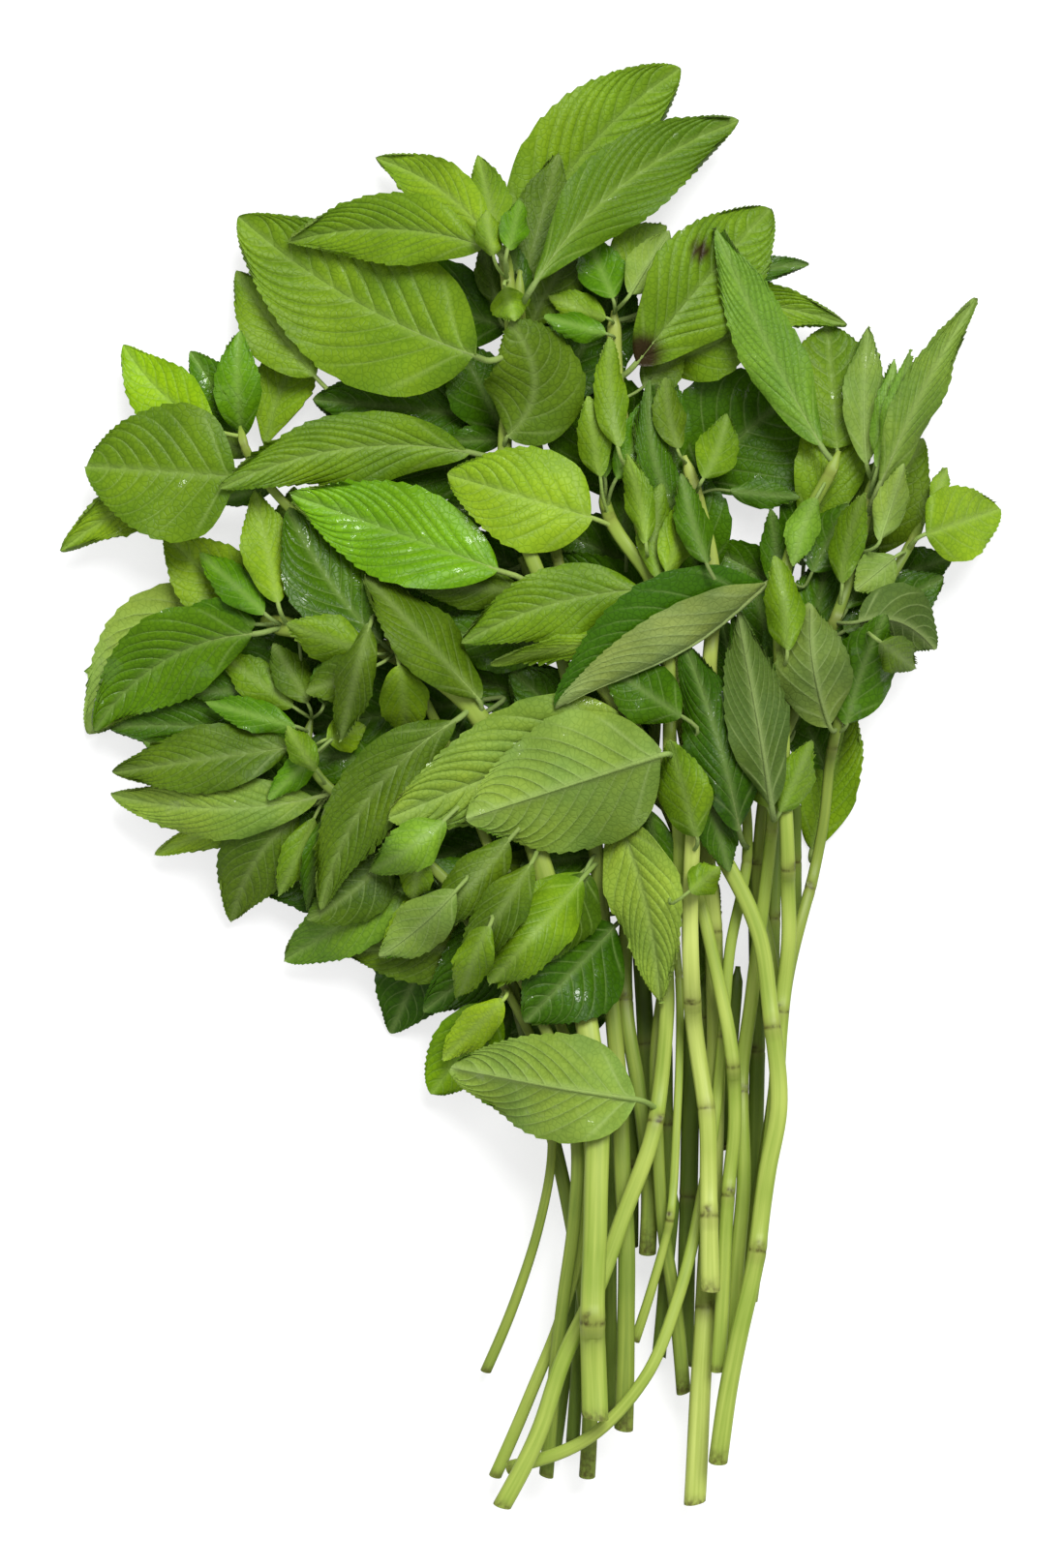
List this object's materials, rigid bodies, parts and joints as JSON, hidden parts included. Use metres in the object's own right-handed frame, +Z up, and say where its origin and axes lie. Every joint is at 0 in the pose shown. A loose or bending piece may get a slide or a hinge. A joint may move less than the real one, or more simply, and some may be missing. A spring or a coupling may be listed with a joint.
{
  "type": "mint bunch",
  "caption": "Bunch of fresh leafy mint sprigs lying flat, with square green stems cut at one end and pointed, veined, toothed leaves at the other.",
  "frame": {"origin": "centre of the bunch's footprint, on the surface that it lies on", "axes": "+Y from the cut stem ends towards the leafy tops, +X to the right when seen from above, +Z up"},
  "size_m": [0.196, 0.2992, 0.0366],
  "materials": {
    "stem_light": "fresh light green skin with fine ribs, slightly glossy",
    "stem_green": "deeper green stem skin with fine ribs",
    "leaf_bright": "bright green upper side of a grown leaf, slightly glossy",
    "leaf_mature": "mid green upper side of a grown leaf, slightly glossy",
    "leaf_dark": "dark green upper side of an old leaf",
    "leaf_olive": "olive green upper side of a leaf in shade",
    "leaf_light": "light green upper side of a young leaf",
    "leaf_bluish": "blue-green upper side of a narrow leaf",
    "leaf_underside": "pale matt underside of a leaf lying face down"
  },
  "bodies": {
    "root": {"sprig_i_leaf_2": "leaf_underside", "sprig_k_leaf_1": "leaf_dark", "sprig_l_leaf_2": "leaf_dark", "sprig_h_leaf_1": "leaf_mature", "sprig_b_leaf_1": "leaf_dark", "sprig_j_leaf_1": "leaf_light", "sprig_l_leaf_1": "leaf_bluish", "sprig_f_leaf_1": "leaf_mature", "sprig_c_leaf_1": "leaf_mature", "sprig_e_leaf_1": "leaf_mature", "sprig_r_stem": "stem_green", "sprig_g_stem": "stem_green", "sprig_l_stem": "stem_green", "sprig_k_stem": "stem_light", "sprig_j_stem": "stem_green", "sprig_o_stem": "stem_green", "sprig_p_stem": "stem_green", "sprig_s_stem": "stem_light", "sprig_m_stem": "stem_light", "sprig_c_stem": "stem_light", "sprig_n_stem": "stem_light", "sprig_h_stem": "stem_green", "sprig_q_stem": "stem_light", "sprig_e_stem": "stem_light", "sprig_f_stem": "stem_light", "sprig_d_stem": "stem_light", "sprig_a_stem": "stem_light", "sprig_i_stem": "stem_light", "sprig_b_stem": "stem_light", "sprig_i_leaf_4": "leaf_bright", "sprig_i_leaf_1": "leaf_bright", "sprig_k_leaf_2": "leaf_bright", "sprig_k_leaf_4": "leaf_olive", "sprig_k_leaf_3": "leaf_dark", "sprig_d_leaf_1": "leaf_olive", "sprig_i_leaf_5": "leaf_olive", "sprig_m_leaf_2": "leaf_bright", "sprig_l_leaf_3": "leaf_bright", "sprig_i_leaf_3": "leaf_mature", "sprig_m_leaf_1": "leaf_dark", "sprig_a_leaf_5": "leaf_mature", "sprig_m_leaf_3": "leaf_olive", "sprig_m_leaf_4": "leaf_light", "sprig_a_leaf_1": "leaf_light", "sprig_d_leaf_2": "leaf_mature", "sprig_d_leaf_3": "leaf_mature", "sprig_d_leaf_4": "leaf_dark", "sprig_a_leaf_2": "leaf_light", "sprig_c_leaf_2": "leaf_light", "sprig_f_leaf_2": "leaf_bluish", "sprig_g_leaf_1": "leaf_bluish", "sprig_h_leaf_2": "leaf_bright", "sprig_g_leaf_2": "leaf_underside", "sprig_h_leaf_3": "leaf_underside", "sprig_n_leaf_1": "leaf_dark", "sprig_q_leaf_1": "leaf_underside", "sprig_a_leaf_3": "leaf_underside", "sprig_e_leaf_2": "leaf_light", "sprig_a_leaf_4": "leaf_underside", "sprig_f_leaf_3": "leaf_dark"}
  },
  "joints": []
}
